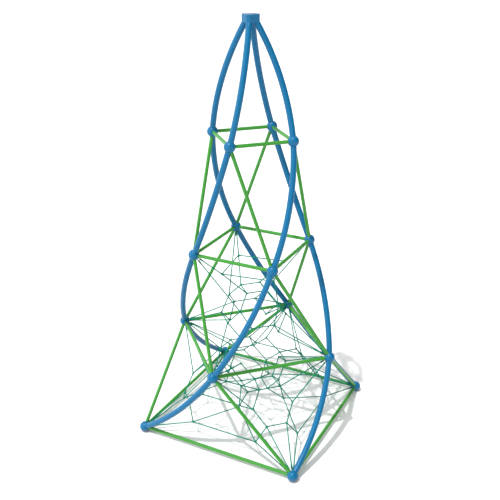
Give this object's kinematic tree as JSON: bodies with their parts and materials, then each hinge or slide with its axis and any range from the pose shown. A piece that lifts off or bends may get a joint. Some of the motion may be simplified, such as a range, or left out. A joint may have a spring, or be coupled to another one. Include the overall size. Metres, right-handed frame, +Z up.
{
  "type": "climbing net tower",
  "caption": "Tall twisted climbing tower: bent posts through ball joints, braced by straight struts, with a taut rope net in its lower storeys.",
  "frame": {"origin": "on the ground at the middle of the tower, under the hub", "axes": "+Z up, the sides of the square of ground balls run along X and Y"},
  "size_m": [3.2746, 3.2746, 7.318],
  "materials": {
    "post_paint": "gloss blue powder coat",
    "ball_paint": "gloss blue powder coat",
    "hub_paint": "gloss blue powder coat",
    "cap": "gloss blue powder coat",
    "strut_paint": "gloss green powder coat",
    "rope": "twisted six-strand rope with a steel core",
    "terminal": "dip-coated dark green",
    "clamp": "dip-coated dark green",
    "bolt_steel": "stainless",
    "inner_steel": "bare, hidden"
  },
  "bodies": {
    "root": {"ball_ring_1_no_1": "ball_paint", "ball_ring_1_no_2": "ball_paint", "ball_ring_1_no_3": "ball_paint", "ball_ring_1_no_4": "ball_paint", "ball_ring_2_no_1": "ball_paint", "ball_ring_2_no_2": "ball_paint", "ball_ring_2_no_3": "ball_paint", "ball_ring_2_no_4": "ball_paint", "ball_ring_3_no_1": "ball_paint", "ball_ring_3_no_2": "ball_paint", "ball_ring_3_no_3": "ball_paint", "ball_ring_3_no_4": "ball_paint", "ball_ring_4_no_1": "ball_paint", "ball_ring_4_no_2": "ball_paint", "ball_ring_4_no_3": "ball_paint", "ball_ring_4_no_4": "ball_paint", "corner_ropes": "rope", "crown_ropes": "rope", "floor_net": "rope", "hanger_ropes": "rope", "hub_bolts": "bolt_steel", "hub_cap": "cap", "hub_casting": "hub_paint", "lower_net": "rope", "lower_net_clamps": "clamp", "post_1_base": "post_paint", "post_1_lower": "post_paint", "post_1_top": "post_paint", "post_1_upper": "post_paint", "post_2_base": "post_paint", "post_2_lower": "post_paint", "post_2_top": "post_paint", "post_2_upper": "post_paint", "post_3_base": "post_paint", "post_3_lower": "post_paint", "post_3_top": "post_paint", "post_3_upper": "post_paint", "post_4_base": "post_paint", "post_4_lower": "post_paint", "post_4_top": "post_paint", "post_4_upper": "post_paint", "post_end_plugs": "inner_steel", "post_studs": "inner_steel", "post_top_plugs": "inner_steel", "ring_1_struts": "strut_paint", "ring_2_struts": "strut_paint", "ring_3_struts": "strut_paint", "ring_4_struts": "strut_paint", "rope_terminals_ring_1": "terminal", "rope_terminals_ring_2": "terminal", "rope_terminals_ring_3": "terminal", "strut_end_plugs": "inner_steel", "strut_studs": "inner_steel", "tier_1_diagonals": "strut_paint", "tier_2_diagonals": "strut_paint", "tier_3_diagonals": "strut_paint", "upper_net": "rope", "upper_net_clamps": "clamp"}
  },
  "joints": []
}
